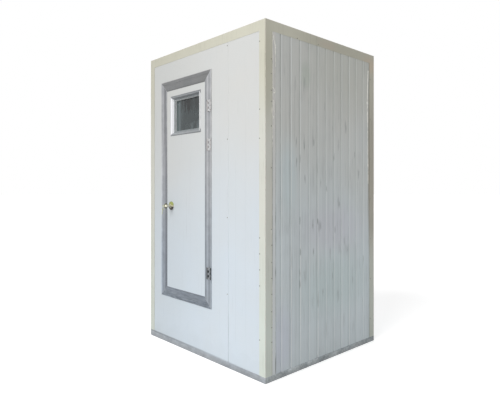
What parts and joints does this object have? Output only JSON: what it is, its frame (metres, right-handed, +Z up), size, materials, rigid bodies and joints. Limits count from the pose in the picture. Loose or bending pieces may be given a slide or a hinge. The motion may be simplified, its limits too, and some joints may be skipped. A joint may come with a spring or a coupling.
{
  "type": "shower toilet container",
  "caption": "Free-standing shower and toilet cabin of ribbed sandwich panels with folded corner trims, a raised floor and an outward-opening windowed door.",
  "frame": {"origin": "on the ground at the middle of the cabin's plan, on the underside of the middle leg's foot plate", "axes": "+Z up, the door wall faces -Y, the cabin's width runs along X"},
  "size_m": [1.45, 1.4146, 2.45],
  "materials": {
    "zinc": "galvanised, mottled",
    "deck": "matt grey floor board",
    "door_wall": "pre-painted white sheet, satin",
    "wall": "pre-painted white sheet with pressed lines, satin, dusty",
    "trim": "pre-painted cream sheet, satin",
    "door_metal": "mill finish, dull",
    "leaf": "pre-painted white sheet, satin",
    "window_metal": "mill finish, dull",
    "glass": "grey-green, streaked",
    "hinge_steel": "zinc plated, dulled",
    "brass": "polished, worn"
  },
  "bodies": {
    "cabin": {"front_base_rail": "zinc", "back_base_rail": "zinc", "left_base_rail": "zinc", "right_base_rail": "zinc", "floor_frame": "zinc", "floor_deck": "deck", "front_panel_latch_side": "door_wall", "front_panel_hinge_side": "door_wall", "front_panel_over_door": "door_wall", "front_panel_under_door": "door_wall", "front_panel_end": "door_wall", "back_panel_wide": "wall", "back_panel_narrow": "wall", "left_wall_strip": "wall", "left_wall_panel": "wall", "right_wall_strip": "wall", "right_wall_panel": "wall", "roof_panel_wide": "wall", "roof_panel_narrow": "wall", "corner_trim_front_left": "trim", "corner_trim_front_right": "trim", "corner_trim_back_left": "trim", "corner_trim_back_right": "trim", "front_roof_trim": "trim", "back_roof_trim": "trim", "left_roof_trim": "trim", "right_roof_trim": "trim", "door_frame_head": "door_metal", "door_frame_sill": "door_metal", "door_frame_latch_jamb": "door_metal", "door_frame_hinge_jamb": "door_metal", "hinge_frame_plates": "hinge_steel", "hinge_pins": "hinge_steel"},
    "door": {"leaf_panel": "leaf", "leaf_edging_top": "door_metal", "leaf_edging_bottom": "door_metal", "leaf_edging_latch": "door_metal", "leaf_edging_hinge": "door_metal", "hinge_leaf_plates": "hinge_steel", "window_frame": "window_metal", "window_bead": "window_metal", "window_glass": "glass", "lock_case": "brass"},
    "knob_set": {"knobs": "brass", "keys": "brass"}
  },
  "joints": [
    {"name": "door_swing", "type": "hinge", "parent": "cabin", "child": "door", "pos_m": [0.1185, -0.6705, 1.3], "axis": [0, 0, 1], "range_deg": [0, 165]},
    {"name": "knob_turn", "type": "hinge", "parent": "door", "child": "knob_set", "pos_m": [-0.4005, -0.6585, 1.163], "axis": [0, -1, 0], "range_deg": [-50, 50], "stiffness_Nm_per_rad": 0.3}
  ]
}
